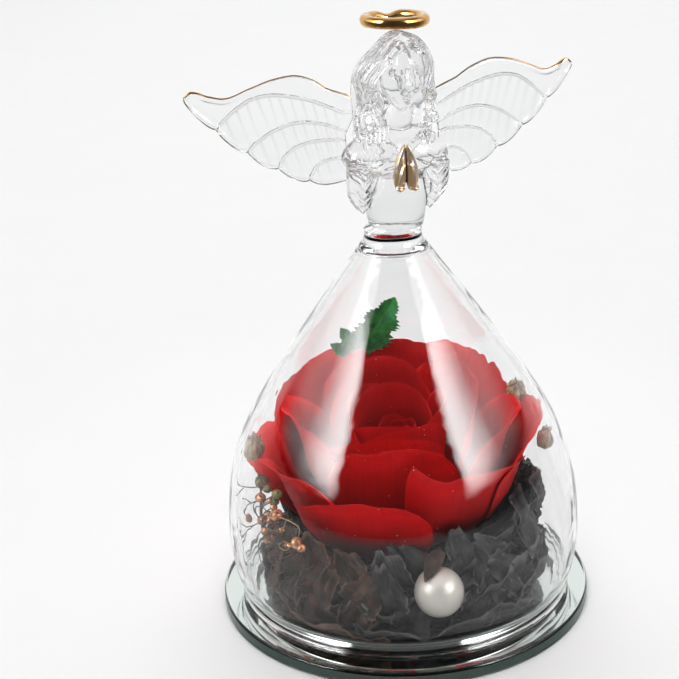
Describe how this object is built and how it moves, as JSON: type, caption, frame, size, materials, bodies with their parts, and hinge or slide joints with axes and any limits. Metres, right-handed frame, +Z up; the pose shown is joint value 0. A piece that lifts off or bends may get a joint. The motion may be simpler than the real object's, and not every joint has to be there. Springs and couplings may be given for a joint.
{
  "type": "preserved rose in glass dome",
  "caption": "Red preserved rose in a ruffle of dark petals with pearl, leaf, pods and berries, under a clear bell-shaped glass dome topped by a glass angel, on a round mirror plate.",
  "frame": {"origin": "centre of the underside of the mirror plate, on the axis of the dome", "axes": "+Z up along the dome's axis, -Y the way the angel faces, +X the angel's left wing"},
  "size_m": [0.1049, 0.102, 0.1602],
  "materials": {
    "clear_glass": "clear blown glass, polished",
    "mirror_plate": "mirror-backed glass with a greenish ground edge",
    "gold_lustre": "gold lustre painted on glass",
    "red_petal": "matt, velvety preserved petal",
    "charcoal_petal": "matt, veined dyed petal",
    "brown_petal": "matt, veined dyed petal",
    "green_leaf": "matt dyed fern leaf",
    "dried_pod": "dry, ribbed, straw coloured",
    "bronze_berry": "smooth with a bronze sheen",
    "pearl": "pearlescent"
  },
  "bodies": {
    "root": {"angel_figure": "clear_glass", "angel_wing_left": "clear_glass", "angel_wing_right": "clear_glass", "berry_spray": "bronze_berry", "dark_petal_01": "brown_petal", "dark_petal_02": "charcoal_petal", "dark_petal_03": "charcoal_petal", "dark_petal_04": "charcoal_petal", "dark_petal_05": "charcoal_petal", "dark_petal_06": "brown_petal", "dark_petal_07": "charcoal_petal", "dark_petal_08": "charcoal_petal", "dark_petal_09": "charcoal_petal", "dark_petal_10": "charcoal_petal", "dark_petal_11": "brown_petal", "dark_petal_12": "charcoal_petal", "dark_petal_13": "charcoal_petal", "dark_petal_14": "charcoal_petal", "dark_petal_15": "charcoal_petal", "glass_dome": "clear_glass", "halo": "gold_lustre", "leaf_sprig": "green_leaf", "mirror_base": "mirror_plate", "pearl": "pearl", "pointed_leaf": "brown_petal", "praying_hands": "gold_lustre", "rose_petal_01": "red_petal", "rose_petal_02": "red_petal", "rose_petal_03": "red_petal", "rose_petal_04": "red_petal", "rose_petal_05": "red_petal", "rose_petal_06": "red_petal", "rose_petal_07": "red_petal", "rose_petal_08": "red_petal", "rose_petal_09": "red_petal", "rose_petal_10": "red_petal", "rose_petal_11": "red_petal", "rose_petal_12": "red_petal", "rose_petal_13": "red_petal", "rose_petal_14": "red_petal", "rose_petal_15": "red_petal", "rose_petal_16": "red_petal", "rose_petal_17": "red_petal", "rose_petal_18": "red_petal", "rose_petal_19": "red_petal", "rose_petal_20": "red_petal", "rose_petal_21": "red_petal", "rose_petal_22": "red_petal", "rose_petal_23": "red_petal", "rose_stem": "green_leaf", "seed_pod_01": "dried_pod", "seed_pod_02": "dried_pod", "seed_pod_03": "dried_pod", "seed_pod_04": "dried_pod", "seed_pod_05": "dried_pod"}
  },
  "joints": []
}
